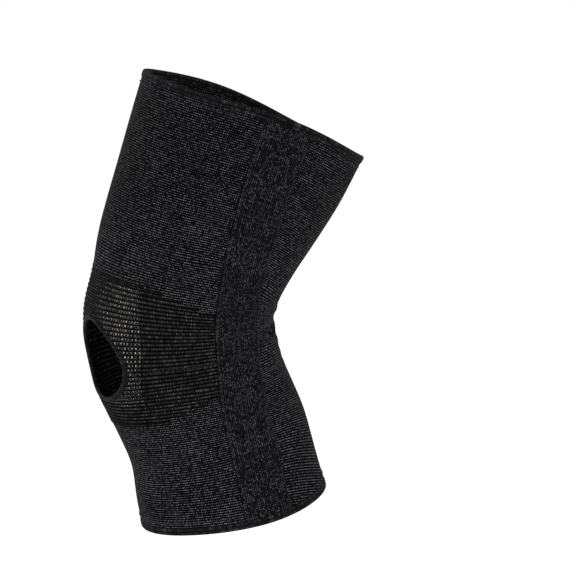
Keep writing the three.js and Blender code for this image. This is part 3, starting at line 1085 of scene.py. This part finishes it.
def sewThread(name, starts, ends):  # tapered tubes from starts to ends, as angle, height and proud
    starts, ends = np.asarray(starts), np.asarray(ends)
    sides, rings = thread["sides"], thread["rings"]
    shares = np.linspace(0, 1, rings)
    rows = starts[:, None] + (ends - starts)[:, None] * shares[:, None]
    rise = rows[..., 2] + thread["rise"] * np.sin(math.pi * shares)
    middle = fabricPoint(rows[..., 0], rows[..., 1], rise)
    outward = fabricPoint(rows[..., 0], rows[..., 1], rise + 1) - middle
    outward /= np.linalg.norm(outward, axis=-1, keepdims=True)
    beside = np.cross(np.gradient(middle, axis=1), outward)
    beside /= np.linalg.norm(beside, axis=-1, keepdims=True)
    taper = thread["tip"] + (1 - 2 * thread["tip"]) * shares
    radius = thread["thick"] / 2 * mm * np.sqrt(np.sin(math.pi * taper))
    turns = 2 * math.pi * np.arange(sides) / sides
    spokes = beside[:, :, None] * np.cos(turns)[:, None] + outward[:, :, None] * np.sin(turns)[:, None]
    points = (middle[:, :, None] + spokes * radius[:, None, None]).reshape(-1, 3)
    around = [(i, (i + 1) % sides, sides + (i + 1) % sides, sides + i) for i in range(sides)]
    loop = [tuple(ring * sides + n for n in face) for ring in range(rings - 1) for face in around]
    caps = [tuple(reversed(range(sides))), tuple((rings - 1) * sides + i for i in range(sides))]
    firsts = [stitch * rings * sides for stitch in range(len(starts))]
    faces = [tuple(first + n for n in face) for first in firsts for face in loop + caps]
    mesh = bpy.data.meshes.new(name)
    mesh.from_pydata(points.tolist(), [], faces)
    mesh.uv_layers.new(name="stitches")
    piece = bpy.data.objects.new(name, mesh)
    bpy.context.collection.objects.link(piece)
    bpy.ops.object.select_all(action="DESELECT")
    piece.select_set(True)
    bpy.context.view_layer.objects.active = piece
    bpy.ops.object.mode_set(mode="EDIT")
    bpy.ops.mesh.select_all(action="SELECT")
    bpy.ops.mesh.normals_make_consistent(inside=False)
    bpy.ops.object.mode_set(mode="OBJECT")
    return finishPiece(piece, threadBlack, [])


def channelSpot(side, lane, across, height):
    proud = channelRise(np.clip(across, channel["sewnAt"], 1 - channel["sewnAt"]), height)
    return np.stack([channelPlace(side, lane, across, height), height + 0 * across, proud], -1)


def centreSeam(name, side):  # zigzag over the gap between two channels
    inset = thread["seamInset"]
    heights = np.arange(channel["bottom"] + inset, channel["top"] - inset, thread["zigzagPitch"])
    lanes = np.where(np.arange(len(heights)) % 2, 1, -1)
    stay = curveThrough(formTable, heights)[5]
    angle = side * (stay + lanes * thread["zigzag"] * 2 * oneDegree / acrossAt(stay, heights))
    spots = np.stack([angle, heights, np.full(len(heights), channel["edge"])], -1)
    return sewThread(name, spots[:-1], spots[1:])


def channelSeams(name, side, lane):  # one seam down the outer edge and one across each end
    pitch = thread["stitch"] + thread["gap"]
    inset = thread["edgeInset"] / channel["width"]
    lowest = channel["bottom"] + thread["seamInset"]
    heights = np.arange(lowest, channel["top"] - thread["seamInset"] - pitch, pitch)
    down = np.full(len(heights), 1 - inset)
    starts = [channelSpot(side, lane, down, heights)]
    ends = [channelSpot(side, lane, down, heights + thread["stitch"])]
    across = np.arange(inset, 1 - inset - pitch / channel["width"], pitch / channel["width"])
    for level in (channel["bottom"] + thread["endInset"], channel["top"] - thread["endInset"]):
        row = np.full(len(across), level)
        starts.append(channelSpot(side, lane, across, row))
        ends.append(channelSpot(side, lane, across + thread["stitch"] / channel["width"], row))
    return sewThread(name, np.concatenate(starts), np.concatenate(ends))


def hemSeam(name, level, girth):  # a ring of stitches on the jersey beside a hem, up to the channels
    count = round(girth / (thread["stitch"] + thread["gap"]))
    angle = 2 * math.pi * np.arange(count) / count - math.pi
    stay = curveThrough(formTable, np.array([level]))[5][0]
    free = np.abs(np.abs(wrapAngle(angle)) - stay) > math.radians(channel["hemArc"])
    angle = angle[free]
    starts = np.stack([angle, np.full(len(angle), level), np.zeros(len(angle))], -1)
    turn = 2 * math.pi / count * thread["stitch"] / (thread["stitch"] + thread["gap"])
    return sewThread(name, starts, starts + np.array([turn, 0, 0]))


def floatRow(name, side):  # one course of the rib panel floats on its outside, as a pale broken line
    pitch = thread["stitch"] + thread["gap"]  # in degrees here, which are about a millimetre each
    count = round((panel["beside"] - thread["floatFrom"]) / pitch)
    degrees = thread["floatFrom"] + pitch * np.arange(count)
    course = courseOfRow(np.full(count, thread["floatRow"]))

    def spots(degrees):
        angle = side * np.radians(degrees)
        return np.stack([angle, heightOfCourse(angle, course), np.full(count, panel["ribRelief"])], -1)

    return sewThread(name, spots(degrees), spots(degrees + thread["stitch"]))


for sideName, side in legSides:
    floatRow(sideName + "FloatRow", side)
    centreSeam(sideName + "CentreSeam", side)
    for laneName, lane in channelLanes:
        channelSeams(sideName + laneName + "Seams", side, lane)
hemSeam("thighHemSeam", thighSeat - thread["hemSeam"], thread["thighGirth"])
hemSeam("calfHemSeam", calfSeat + thread["hemSeam"], thread["calfGirth"])
print("seams done")
